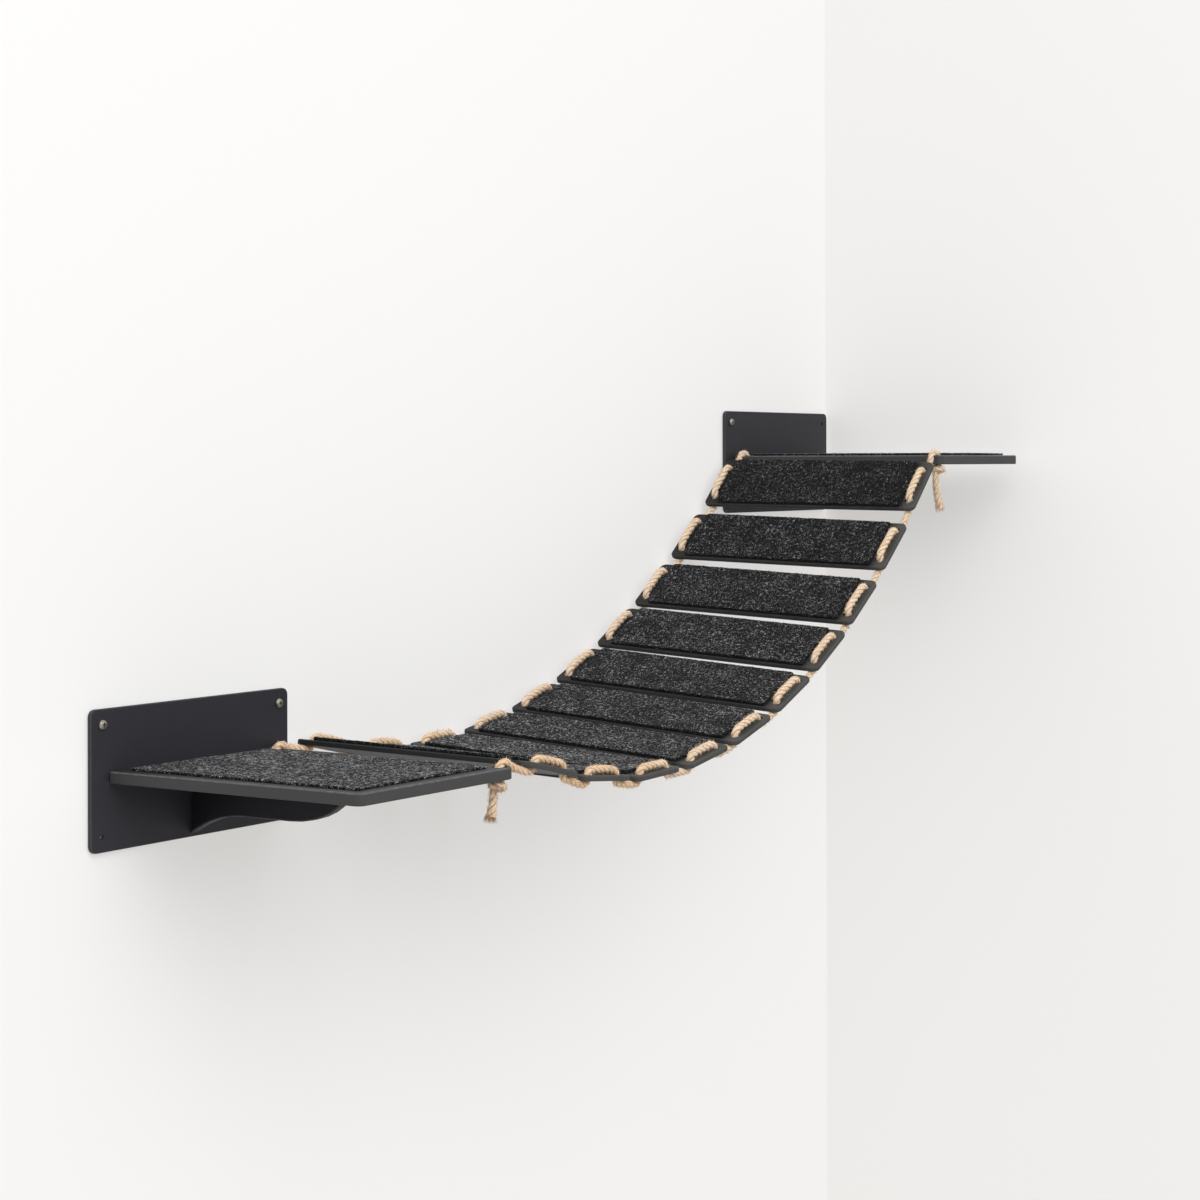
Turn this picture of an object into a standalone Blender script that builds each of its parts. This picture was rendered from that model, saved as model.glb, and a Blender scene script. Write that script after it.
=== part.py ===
# Cat wall bridge: two wall shelves at different heights, joined by a hanging walkway
# of felt-topped slats laced on two ropes.
# Metres, +Z up. The wall is the plane y = 0, and the object stands out of it towards -Y.
# The origin is the centre of the lower wall plate's back face, and +X runs along the wall
# towards the upper shelf.

import math

import bmesh
import bpy
from mathutils import Euler, Matrix, Vector

# Driving dimensions: where the two shelves hang, and how long the walkway is between them
shelf_spacing = 0.9952          # lower plate to upper plate, along the wall
upper_rise = 0.2533             # lower plate to upper plate, upwards
slat_length = 0.255             # also sets how far the shelves reach out of the wall
hang_slack_share = 1.058        # walkway length over the straight line between the shelf edges
hang_above_shelf = 0.010        # walkway's middle plane above the shelf top, at the shelf edge
front_droop = 0.0185            # how much lower the front rope hangs at mid span

# Clearances and shared sizes
touch_gap = 0.0003              # left between pieces that rest on each other
edge_round = 0.0012             # rounded arrises of all painted boards
overrun = 0.002                 # how far a cutter passes the face it cuts

# Wall plates
plate_width = 0.240
plate_height = 0.115
plate_thickness = 0.004
plate_corner_radius = 0.006
plate_edge_round = 0.0008
wall_hole_inset = 0.0125        # hole centre to plate edge, both ways
wall_hole_diameter = 0.0046

# Shelf boards
shelf_width = 0.200
shelf_overhang = 0.002          # shelf in front of the slats
shelf_thickness = 0.010
shelf_corner_radius = 0.007
shelf_underside = 0.0545        # above the plate's lower edge

# Arched brackets under the shelves
bracket_thickness = 0.010
bracket_reach = 0.168           # along the shelf's underside, from the plate
bracket_foot_height = 0.0027    # foot above the plate's lower edge
bracket_waist_height = 0.0210   # level lower edge above the plate's lower edge
bracket_cove_length = 0.058
bracket_nose_length = 0.060     # length of the rounded front end

# Slats
slat_count = 10
slat_width = 0.071
slat_thickness = 0.005
slat_corner_radius = 0.006
slat_plate_clearance = 0.0015   # slat's rear end to the wall plates' faces
lower_end_gap = 0.0287          # lower shelf edge to the first slat, along the walkway
upper_end_gap = 0.0241
gap_shares = (0.90, 0.90, 1.25, 0.90, 0.95, 1.00, 1.00, 1.45, 1.65)

# Ropes and the holes that they are laced through
rope_diameter = 0.008
rope_hole_diameter = 0.010
rope_end_inset = 0.009          # rope line to the slat's end and to the shelf's front edge
rope_hole_edge = 0.0130         # hole centre to the slat's long edge
shelf_hole_edge = 0.011         # hole centre to the shelf's bridge edge
rope_lift = 0.0005              # slack of the rope over a slat or a shelf
rope_bend_in = 0.0017           # a bend's start, inwards from the hole's axis
rope_bend_out = 0.0055          # a bend's end, inwards from the hole's axis
rope_bend_drop = 0.0010         # how far the bend's start lies below the level run
rope_under_inset = 0.0040       # end of the level run under a slat, to the slat's long edge
shelf_bend_in = 0.0042          # rope beyond the shelf's edge, where it turns down
shelf_bend_up = 0.0026          # and its height above the shelf's top there
slat_entry = 0.0030             # rope beyond the first slat's edge, where it turns under it

# Knots and tails under the shelves
knot_width = 0.0165
knot_height = 0.0115
tail_diameter = 0.008
tail_lengths = (0.018, 0.021, 0.034, 0.025)      # lower front and rear, upper front and rear
tail_leans = (-0.009, -0.004, 0.010, 0.005)      # of the tail's end, along the wall
tail_flare_share = 1.25         # frayed end over the tail's own diameter

# Felt pads
slat_felt_thickness = 0.0030
shelf_felt_thickness = 0.0020
felt_edge_round = 0.0008
felt_corner_radius = 0.003
slat_felt_end_margin = 0.017
slat_felt_side_margin = 0.002
shelf_felt_margin = 0.012
shelf_felt_bridge_margin = 0.021

# Wall screws, cut off at the wall
screw_head_diameter = 0.0080
screw_head_height = 0.0026
screw_shank_diameter = 0.0038
screw_recess_width = 0.0011
screw_recess_length = 0.0042
screw_recess_depth = 0.0014

# Hidden countersunk screws that hold shelf and bracket
joint_screw_length = 0.030
joint_screw_shank = 0.0028
joint_screw_head = 0.0062
joint_screw_head_depth = 0.0026
joint_screw_spread_share = 0.30 # shelf screw to the shelf's middle, over the shelf's width
screw_point_share = 2.0         # point's length over the shank's radius
bracket_screw_heights = (0.025, 0.042)   # above the plate's lower edge
shelf_screw_reaches = (0.040, 0.105)     # bracket screws through the shelf, from the plate

round_side_count = 12
hole_side_count = 16
screw_head_side_count = 20
rope_ring_count = 2             # bevel resolution of the rope tubes, 8 sides
corner_step_count = 4

# Values worked out from the sizes above
shelf_depth = slat_length + shelf_overhang
plate_bottom = -plate_height / 2
shelf_bottom = plate_bottom + shelf_underside
shelf_top = shelf_bottom + shelf_thickness
shelf_back = -plate_thickness - touch_gap
shelf_front = -plate_thickness - shelf_depth
lower_edge_x = shelf_width / 2
upper_edge_x = shelf_spacing - shelf_width / 2
slat_back = -plate_thickness - slat_plate_clearance
slat_middle_y = slat_back - slat_length / 2
rope_reach = slat_length / 2 - rope_end_inset
rope_radius = rope_diameter / 2
rope_hole_x = slat_width / 2 - rope_hole_edge


def clear_scene():
    for item in list(bpy.data.objects):
        bpy.data.objects.remove(item, do_unlink=True)


def paint(name, color, roughness, metallic=0.0):
    material = bpy.data.materials.new(name)
    material.use_nodes = True
    shader = material.node_tree.nodes["Principled BSDF"]
    shader.inputs["Base Color"].default_value = (*color, 1.0)
    shader.inputs["Roughness"].default_value = roughness
    shader.inputs["Metallic"].default_value = metallic
    material.diffuse_color = (*color, 1.0)
    return material


def link(name, data, material=None, parent=None):
    item = bpy.data.objects.new(name, data)
    bpy.context.scene.collection.objects.link(item)
    if material is not None:
        item.data.materials.append(material)
    if parent is not None:
        item.parent = parent
    return item


def corner_arc(center, radius, start, end, steps):
    return [
        (center[0] + radius * math.cos(start + (end - start) * i / steps),
         center[1] + radius * math.sin(start + (end - start) * i / steps))
        for i in range(steps + 1)
    ]


def rounded_rectangle(low, high, radius):
    """Outline from the low corner to the high corner, anticlockwise, with round corners."""
    quarter = math.pi / 2
    centers = (
        (high[0] - radius, high[1] - radius),
        (low[0] + radius, high[1] - radius),
        (low[0] + radius, low[1] + radius),
        (high[0] - radius, low[1] + radius),
    )
    points = []
    for turn, center in enumerate(centers):
        points += corner_arc(center, radius, turn * quarter, (turn + 1) * quarter, corner_step_count)
    return points


def extruded(name, outline, thickness):
    """A closed slab: the outline in its local XY plane, from z = 0 up to the thickness."""
    mesh = bpy.data.meshes.new(name)
    shape = bmesh.new()
    base = shape.faces.new([shape.verts.new((x, y, 0.0)) for x, y in outline])
    grown = bmesh.ops.extrude_face_region(shape, geom=[base])
    raised = [v for v in grown["geom"] if isinstance(v, bmesh.types.BMVert)]
    bmesh.ops.translate(shape, verts=raised, vec=(0.0, 0.0, thickness))
    bmesh.ops.recalc_face_normals(shape, faces=shape.faces)
    shape.to_mesh(mesh)
    shape.free()
    return mesh


def ease_edges(item, width, segments=2):
    bevel = item.modifiers.new("eased edges", "BEVEL")
    bevel.width = width
    bevel.segments = segments
    bevel.limit_method = "ANGLE"
    bevel.angle_limit = math.radians(45)
    return bevel


def turned(name, profile, sides):
    """A solid of revolution about local Z from (radius, z) pairs that start and end on the axis."""
    mesh = bpy.data.meshes.new(name)
    shape = bmesh.new()
    rings = []
    for radius, height in profile:
        if radius == 0:
            rings.append([shape.verts.new((0.0, 0.0, height))])
        else:
            rings.append([
                shape.verts.new((
                    radius * math.cos(2 * math.pi * i / sides),
                    radius * math.sin(2 * math.pi * i / sides),
                    height,
                ))
                for i in range(sides)
            ])
    for lower, upper in zip(rings, rings[1:]):
        for i in range(sides):
            j = (i + 1) % sides
            corners = [lower[i % len(lower)], lower[j % len(lower)],
                       upper[j % len(upper)], upper[i % len(upper)]]
            shape.faces.new(list(dict.fromkeys(corners)))
    bmesh.ops.recalc_face_normals(shape, faces=shape.faces)
    shape.to_mesh(mesh)
    shape.free()
    mesh.shade_smooth()
    mesh.set_sharp_from_angle(angle=math.radians(40))
    return mesh


def rods_mesh(name, rods, sides=hole_side_count):
    """Upright round cutters in one mesh: each rod is (x, y, radius, low z, high z)."""
    mesh = bpy.data.meshes.new(name)
    shape = bmesh.new()
    for x, y, radius, low, high in rods:
        made = bmesh.ops.create_cone(
            shape, cap_ends=True, segments=sides, radius1=radius, radius2=radius, depth=high - low)
        bmesh.ops.translate(shape, verts=made["verts"], vec=(x, y, (low + high) / 2))
    shape.to_mesh(mesh)
    shape.free()
    return mesh


def cut(item, cutter_mesh, matrix=None):
    """Cuts the object with a hidden cutter that is parented to it."""
    cutter = link(cutter_mesh.name + "_cutter", cutter_mesh, parent=item)
    if matrix is not None:
        cutter.matrix_local = matrix
    cutter.hide_render = True
    cutter.display_type = "WIRE"
    boolean = item.modifiers.new("cut " + cutter_mesh.name, "BOOLEAN")
    boolean.operation = "DIFFERENCE"
    boolean.object = cutter
    return cutter


def screw_profile(head_radius, head_depth, shank_radius, length):
    """Countersunk screw: the head's flat top at z = 0, the point at z = -length."""
    point = shank_radius * screw_point_share
    return [
        (0.0, -length),
        (shank_radius, -length + point),
        (shank_radius, -head_depth),
        (head_radius, 0.0),
        (0.0, 0.0),
    ]


def screw_hole_profile(grow):
    """The clearance around a hidden screw, open at the head's face."""
    shank = joint_screw_shank / 2 + grow
    head = joint_screw_head / 2 + grow
    point = shank * screw_point_share
    return [
        (0.0, -joint_screw_length - grow * 2),
        (shank, -joint_screw_length - grow * 2 + point),
        (shank, -joint_screw_head_depth - grow),
        (head, -grow / 2),
        (head, overrun),
        (0.0, overrun),
    ]


# Matrices that lay local Z along -Y (out of the wall) and +Y (into the wall)
out_of_wall = Euler((math.pi / 2, 0.0, 0.0)).to_matrix().to_4x4()
into_wall = Euler((-math.pi / 2, 0.0, 0.0)).to_matrix().to_4x4()


def wall_plate(name, at, material):
    half_x = plate_width / 2
    half_z = plate_height / 2
    outline = rounded_rectangle((-half_x, -half_z), (half_x, half_z), plate_corner_radius)
    plate = link(name, extruded(name, outline, plate_thickness), material)
    plate.matrix_world = Matrix.Translation(at) @ out_of_wall
    ease_edges(plate, plate_edge_round)
    hole_x = half_x - wall_hole_inset
    hole_z = half_z - wall_hole_inset
    rods = [
        (x, z, wall_hole_diameter / 2, -overrun, plate_thickness + overrun)
        for x in (-hole_x, hole_x)
        for z in (-hole_z, hole_z)
    ]
    cut(plate, rods_mesh(name + "_wall_holes", rods))
    return plate


def shelf_board(name, at, bridge_side, material):
    """The board from its underside up; bridge_side is +1 where the walkway leaves at +X."""
    half = shelf_width / 2
    outline = rounded_rectangle((-half, -plate_thickness - shelf_depth), (half, shelf_back),
                                shelf_corner_radius)
    square_back = [(x, y) for x, y in outline if y < shelf_back - shelf_corner_radius]
    back = [(half, shelf_back), (-half, shelf_back)]
    outline = order_around(square_back + back)
    board = link(name, extruded(name, outline, shelf_thickness), material)
    board.location = Vector(at) + Vector((0.0, 0.0, shelf_bottom))
    ease_edges(board, edge_round)
    hole_x = bridge_side * (half - shelf_hole_edge)
    rods = [
        (hole_x, slat_middle_y + side * rope_reach, rope_hole_diameter / 2,
         -overrun, shelf_thickness + overrun)
        for side in (-1, 1)
    ]
    cut(board, rods_mesh(name + "_rope_holes", rods))
    return board


def order_around(points):
    """Sorts outline points anticlockwise about their middle."""
    mid_x = (min(x for x, y in points) + max(x for x, y in points)) / 2
    mid_y = (min(y for x, y in points) + max(y for x, y in points)) / 2
    return sorted(points, key=lambda p: math.atan2(p[1] - mid_y, p[0] - mid_x))


def bracket_outline():
    """Side view as (reach from the plate, height above the plate's lower edge)."""
    top = shelf_underside - touch_gap
    back = touch_gap
    rise = bracket_waist_height - bracket_foot_height
    radius = (bracket_cove_length ** 2 + rise ** 2) / (2 * rise)
    sweep = math.asin(bracket_cove_length / radius)
    points = [(back, top), (back, bracket_foot_height)]
    steps = corner_step_count * 2
    for i in range(1, steps + 1):
        angle = sweep * (1 - i / steps)
        points.append((
            back + bracket_cove_length - radius * math.sin(angle),
            bracket_waist_height - radius * (1 - math.cos(angle)),
        ))
    nose_height = top - bracket_waist_height
    nose_start = bracket_reach - bracket_nose_length
    for i in range(steps + 1):
        angle = math.pi / 2 * i / steps
        points.append((
            nose_start + bracket_nose_length * math.sin(angle),
            top - nose_height * math.cos(angle),
        ))
    return points


def bracket(name, at, material):
    item = link(name, extruded(name, bracket_outline(), bracket_thickness), material)
    # local X runs out of the wall, local Y up, local Z along the wall
    turn = Matrix(((0.0, 0.0, 1.0, 0.0), (-1.0, 0.0, 0.0, 0.0), (0.0, 1.0, 0.0, 0.0),
                   (0.0, 0.0, 0.0, 1.0)))
    place = Vector(at) + Vector((-bracket_thickness / 2, -plate_thickness, plate_bottom))
    item.matrix_world = Matrix.Translation(place) @ turn
    ease_edges(item, edge_round)
    return item


def felt_pad(name, low, high, thickness, material):
    mesh = extruded(name, rounded_rectangle(low, high, felt_corner_radius), thickness)
    pad = link(name, mesh, material)
    ease_edges(pad, felt_edge_round)
    return pad


def shelf_felt(name, at, bridge_side, material):
    half = shelf_width / 2
    margins = {bridge_side: shelf_felt_bridge_margin, -bridge_side: shelf_felt_margin}
    low = (-half + margins[-1], shelf_front + shelf_felt_margin)
    high = (half - margins[1], -plate_thickness - shelf_felt_margin)
    pad = felt_pad(name, low, high, shelf_felt_thickness, material)
    pad.location = Vector(at) + Vector((0.0, 0.0, shelf_top + touch_gap))
    return pad


def wall_screw(name, at, material):
    """A round-headed screw through the plate, cut off at the wall."""
    head_radius = screw_head_diameter / 2
    shank_radius = screw_shank_diameter / 2
    face = plate_thickness + touch_gap
    profile = [
        (0.0, touch_gap),
        (shank_radius, touch_gap),
        (shank_radius, face),
        (head_radius, face),
        (head_radius, face + screw_head_height / 3),
        (head_radius * 0.82, face + screw_head_height * 0.8),
        (head_radius * 0.45, face + screw_head_height),
        (0.0, face + screw_head_height),
    ]
    item = link(name, turned(name, profile, screw_head_side_count), material)
    item.matrix_world = Matrix.Translation(at) @ out_of_wall
    shape = bmesh.new()
    for angle in (0.0, math.pi / 2):
        made = bmesh.ops.create_cube(shape, size=1.0)
        size = Matrix.Diagonal((screw_recess_length, screw_recess_width,
                                screw_recess_depth + overrun, 1.0))
        bmesh.ops.transform(shape, matrix=Matrix.Rotation(angle, 4, "Z") @ size, verts=made["verts"])
    mesh = bpy.data.meshes.new(name + "_recess")
    shape.to_mesh(mesh)
    shape.free()
    depth = face + screw_head_height - screw_recess_depth + (screw_recess_depth + overrun) / 2
    cutter = cut(item, mesh, Matrix.Translation((0.0, 0.0, depth)))
    boolean = item.modifiers[-1]
    boolean.use_self = True
    return item, cutter


def joint_screw(name, matrix, material, boards):
    """A hidden countersunk screw, with its clearance cut in the boards that it joins."""
    profile = screw_profile(joint_screw_head / 2, joint_screw_head_depth,
                            joint_screw_shank / 2, joint_screw_length)
    item = link(name, turned(name, profile, round_side_count), material)
    item.matrix_world = matrix
    for board in boards:
        mesh = turned(name + "_clearance", screw_hole_profile(touch_gap), round_side_count)
        bpy.context.view_layer.update()
        cut(board, mesh, board.matrix_world.inverted() @ matrix)
    return item


def shelf_assembly(prefix, at, bridge_side, paints):
    """Plate, shelf board, bracket, felt and the screws that hold them together."""
    at = Vector(at)
    plate = wall_plate(prefix + "_wall_plate", at, paints["board"])
    board = shelf_board(prefix + "_shelf_board", at, bridge_side, paints["board"])
    brace = bracket(prefix + "_bracket", at, paints["board"])
    shelf_felt(prefix + "_shelf_felt", at, bridge_side, paints["felt"])
    bpy.context.view_layer.update()
    shelf_middle = shelf_bottom + shelf_thickness / 2
    spread = shelf_width * joint_screw_spread_share
    for number, x in enumerate((-spread, spread), 1):
        place = Matrix.Translation(at + Vector((x, -touch_gap, shelf_middle))) @ into_wall
        joint_screw(f"{prefix}_shelf_screw_{number}", place, paints["steel"], (plate, board))
    for number, height in enumerate(bracket_screw_heights, 1):
        spot = Vector((0.0, -touch_gap, plate_bottom + height))
        place = Matrix.Translation(at + spot) @ into_wall
        joint_screw(f"{prefix}_bracket_screw_{number}", place, paints["steel"], (plate, brace))
    for number, reach in enumerate(shelf_screw_reaches, 1):
        spot = Vector((0.0, -plate_thickness - reach, shelf_top - touch_gap))
        place = Matrix.Translation(at + spot)
        joint_screw(f"{prefix}_top_screw_{number}", place, paints["steel"], (board, brace))


def hanging_line():
    """The walkway's catenary: its parameter, lowest point and both ends, solved by halving."""
    span = upper_edge_x - lower_edge_x
    length = hang_slack_share * math.hypot(span, upper_rise)
    target = math.sqrt(length ** 2 - upper_rise ** 2) / span
    low, high = 1e-3, 10.0
    for _ in range(60):
        middle = (low + high) / 2
        if math.sinh(middle) / middle < target:
            low = middle
        else:
            high = middle
    parameter = span / (2 * middle)
    lowest_x = (lower_edge_x + upper_edge_x) / 2 - parameter * math.atanh(upper_rise / length)
    end_z = shelf_top + hang_above_shelf
    lowest_z = end_z - parameter * (math.cosh((lower_edge_x - lowest_x) / parameter) - 1)
    return parameter, lowest_x, lowest_z, length


def slat_places():
    """Each slat's centre and rotation, from the lower shelf up."""
    parameter, lowest_x, lowest_z, length = hanging_line()
    start = math.sinh((lower_edge_x - lowest_x) / parameter)
    shares = [gap_shares[i % len(gap_shares)] for i in range(slat_count - 1)]
    free = length - lower_end_gap - upper_end_gap - slat_count * slat_width
    droop = math.atan2(front_droop, 2 * rope_reach)
    along = lower_end_gap + slat_width / 2
    places = []
    for index in range(slat_count):
        offset = parameter * math.asinh(along / parameter + start)
        center = Vector((
            lowest_x + offset,
            slat_middle_y,
            lowest_z + parameter * (math.cosh(offset / parameter) - 1),
        ))
        slope = math.atan(math.sinh(offset / parameter))
        roll = droop * math.sin(math.pi * along / length)
        turn = Euler((roll, -slope, 0.0)).to_matrix().to_4x4()
        places.append(Matrix.Translation(center) @ turn)
        if index < slat_count - 1:
            along += slat_width + free * shares[index] / sum(shares)
    return places


def slat(number, place, paints):
    half_x = slat_width / 2
    half_y = slat_length / 2
    name = f"slat_{number:02d}"
    outline = rounded_rectangle((-half_x, -half_y), (half_x, half_y), slat_corner_radius)
    mesh = extruded(name, outline, slat_thickness)
    mesh.transform(Matrix.Translation((0.0, 0.0, -slat_thickness / 2)))
    plank = link(name, mesh, paints["board"])
    plank.matrix_world = place
    ease_edges(plank, edge_round)
    rods = [
        (x, y, rope_hole_diameter / 2, -slat_thickness / 2 - overrun, slat_thickness / 2 + overrun)
        for x in (-rope_hole_x, rope_hole_x)
        for y in (-rope_reach, rope_reach)
    ]
    cut(plank, rods_mesh(name + "_rope_holes", rods))
    low = (-half_x + slat_felt_side_margin, -half_y + slat_felt_end_margin)
    pad = felt_pad(f"slat_felt_{number:02d}", low, (-low[0], -low[1]), slat_felt_thickness,
                   paints["felt"])
    pad.parent = plank
    pad.location = (0.0, 0.0, slat_thickness / 2 + touch_gap)
    return plank


def lacing_at_slat(place, side):
    """The rope's points at one slat: up its lower hole, along the top and down its upper hole."""
    level = slat_thickness / 2 + rope_radius + rope_lift
    bend = level - rope_bend_drop
    half = [
        (rope_hole_x - rope_bend_out, level),
        (rope_hole_x - rope_bend_in, bend),
        (rope_hole_x + rope_bend_in, -bend),
        (slat_width / 2 - rope_under_inset, -level),
    ]
    shape = [(-x, z) for x, z in reversed(half)] + half
    return [place @ Vector((x, side * rope_reach, z)) for x, z in shape]


def lacing_at_shelf(at, bridge_side, side, place):
    """The rope's points up a shelf's hole, over its edge and down to the nearest slat."""
    edge = Vector(at) + Vector((bridge_side * shelf_width / 2, 0.0, shelf_top))
    y = slat_middle_y + side * rope_reach
    level = rope_radius + rope_lift
    shape = [
        (-shelf_hole_edge, -shelf_thickness),
        (-shelf_hole_edge, rope_lift),
        (-shelf_hole_edge + rope_bend_in, level - rope_bend_drop),
        (-shelf_hole_edge + rope_bend_out, level),
        (rope_bend_drop, level),
        (shelf_bend_in, shelf_bend_up),
    ]
    points = [Vector((edge.x + bridge_side * x, y, edge.z + z)) for x, z in shape]
    entry = Vector((
        -bridge_side * (slat_width / 2 + slat_entry),
        side * rope_reach,
        -slat_thickness / 2 - rope_radius,
    ))
    return points + [place @ entry]


def tube(name, points, radius, material, radii=None):
    curve = bpy.data.curves.new(name, "CURVE")
    curve.dimensions = "3D"
    curve.bevel_depth = radius
    curve.bevel_resolution = rope_ring_count
    curve.use_fill_caps = True
    spline = curve.splines.new("POLY")
    spline.points.add(len(points) - 1)
    for i, point in enumerate(points):
        spline.points[i].co = (*point, 1.0)
        if radii is not None:
            spline.points[i].radius = radii[i]
    return link(name, curve, material)


def rope(name, side, places, lower_at, upper_at, material):
    points = lacing_at_shelf(lower_at, 1, side, places[0])
    for place in places:
        points += lacing_at_slat(place, side)
    points += reversed(lacing_at_shelf(upper_at, -1, side, places[-1]))
    return tube(name, points, rope_radius, material)


def knot_mesh(name):
    """A pulled-tight stopper knot as one lumpy solid, its middle at the origin."""
    mesh = bpy.data.meshes.new(name)
    shape = bmesh.new()
    bmesh.ops.create_uvsphere(
        shape, u_segments=round_side_count, v_segments=round_side_count // 2 + 1, radius=1.0)
    lobes = 3
    swell_share = 0.10
    for vertex in shape.verts:
        turn = math.atan2(vertex.co.y, vertex.co.x)
        swell = 1 + swell_share * math.cos(lobes * turn + math.pi * vertex.co.z)
        vertex.co.x *= swell * knot_width / 2
        vertex.co.y *= swell * knot_width / 2
        vertex.co.z *= knot_height / 2
    bmesh.ops.recalc_face_normals(shape, faces=shape.faces)
    shape.to_mesh(mesh)
    shape.free()
    mesh.shade_smooth()
    return mesh


def knot_and_tail(where, at, bridge_side, side, length, lean, material):
    hole_x = at[0] + bridge_side * (shelf_width / 2 - shelf_hole_edge)
    y = slat_middle_y + side * rope_reach
    top = at[2] + shelf_bottom - touch_gap
    knot = link("knot_" + where, knot_mesh("knot_" + where), material)
    knot.location = (hole_x, y, top - knot_height / 2)
    start = Vector((hole_x, y, top - knot_height - touch_gap))
    shares = (0.0, 0.3, 0.65, 1.0)
    points = [start + Vector((lean * s ** 2, 0.0, -length * s)) for s in shares]
    radii = [1 + (tail_flare_share - 1) * s ** 2 for s in shares]
    tube("tail_" + where, points, tail_diameter / 2, material, radii)


def build():
    clear_scene()
    paints = {
        "board": paint("anthracite_paint", (0.040, 0.042, 0.047), 0.55),
        "felt": paint("charcoal_felt", (0.022, 0.023, 0.025), 0.95),
        "rope": paint("jute", (0.56, 0.37, 0.20), 0.85),
        "brass": paint("brass", (0.72, 0.62, 0.40), 0.35, 1.0),
        "steel": paint("zinc_steel", (0.55, 0.55, 0.55), 0.4, 1.0),
    }
    lower_at = (0.0, 0.0, 0.0)
    upper_at = (shelf_spacing, 0.0, upper_rise)
    shelf_assembly("lower", lower_at, 1, paints)
    shelf_assembly("upper", upper_at, -1, paints)
    hole_x = plate_width / 2 - wall_hole_inset
    hole_z = plate_height / 2 - wall_hole_inset
    wall_screw("wall_screw_lower_left", (-hole_x, 0.0, hole_z), paints["brass"])
    wall_screw("wall_screw_lower_right", (hole_x, 0.0, hole_z), paints["brass"])
    wall_screw("wall_screw_upper_left", (shelf_spacing - hole_x, 0.0, upper_rise + hole_z),
               paints["brass"])
    places = slat_places()
    for number, place in enumerate(places, 1):
        slat(number, place, paints)
    ends = (
        ("lower_front", lower_at, 1, -1),
        ("lower_rear", lower_at, 1, 1),
        ("upper_front", upper_at, -1, -1),
        ("upper_rear", upper_at, -1, 1),
    )
    for end, length, lean in zip(ends, tail_lengths, tail_leans):
        knot_and_tail(*end, length, lean, paints["rope"])
    for word, side in (("front", -1), ("rear", 1)):
        rope("rope_" + word, side, places, lower_at, upper_at, paints["rope"])


build()
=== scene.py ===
import math

import bpy
import numpy as np
from mathutils import Euler, Matrix, Vector, noise


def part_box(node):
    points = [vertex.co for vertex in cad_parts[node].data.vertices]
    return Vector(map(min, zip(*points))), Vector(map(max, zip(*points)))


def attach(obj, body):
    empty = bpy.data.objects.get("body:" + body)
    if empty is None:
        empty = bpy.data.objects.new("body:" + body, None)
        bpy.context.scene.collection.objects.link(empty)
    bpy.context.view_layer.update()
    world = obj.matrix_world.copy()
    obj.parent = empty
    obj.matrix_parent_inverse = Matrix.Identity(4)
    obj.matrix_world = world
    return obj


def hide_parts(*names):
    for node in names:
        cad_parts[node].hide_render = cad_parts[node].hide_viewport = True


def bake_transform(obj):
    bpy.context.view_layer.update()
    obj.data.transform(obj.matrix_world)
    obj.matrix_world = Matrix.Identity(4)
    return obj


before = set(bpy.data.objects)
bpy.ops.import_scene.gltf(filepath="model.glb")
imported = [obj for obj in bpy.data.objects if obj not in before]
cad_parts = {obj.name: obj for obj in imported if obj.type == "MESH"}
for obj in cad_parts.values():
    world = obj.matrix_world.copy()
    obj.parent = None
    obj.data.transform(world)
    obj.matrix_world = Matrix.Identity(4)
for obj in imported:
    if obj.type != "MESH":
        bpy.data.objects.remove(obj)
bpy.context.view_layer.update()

# Sizes of the bridge, as in the CAD part, in metres
bridge = {
    "shelfSpacing": 0.9952,
    "upperRise": 0.2533,
    "slatLength": 0.255,
    "slackShare": 1.058,
    "hangAboveShelf": 0.010,
    "frontDroop": 0.0185,
    "plateThickness": 0.004,
    "shelfWidth": 0.200,
    "shelfThickness": 0.010,
    "shelfTop": 0.007,
    "shelfOverhang": 0.002,
    "slatWidth": 0.071,
    "slatThickness": 0.005,
    "slatPlateClearance": 0.0015,
    "lowerEndGap": 0.0287,
    "upperEndGap": 0.0241,
    "gapShares": (0.90, 0.90, 1.25, 0.90, 0.95, 1.00, 1.00, 1.45, 1.65),
    "ropeEndInset": 0.009,
    "ropeHoleEdge": 0.0130,
    "shelfHoleEdge": 0.011,
    "touchGap": 0.0003,
}
slatCount = len(bridge["gapShares"]) + 1
slatMiddleY = -bridge["plateThickness"] - bridge["slatPlateClearance"] - bridge["slatLength"] / 2
ropeReach = bridge["slatLength"] / 2 - bridge["ropeEndInset"]
ropeHoleX = bridge["slatWidth"] / 2 - bridge["ropeHoleEdge"]
lowerAt = Vector((0, 0, 0))
upperAt = Vector((bridge["shelfSpacing"], 0, bridge["upperRise"]))
units = (("lower", lowerAt, 1), ("upper", upperAt, -1))      # 1: the bridge hangs on its right
ropeSides = (("front", -1), ("rear", 1))


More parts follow.
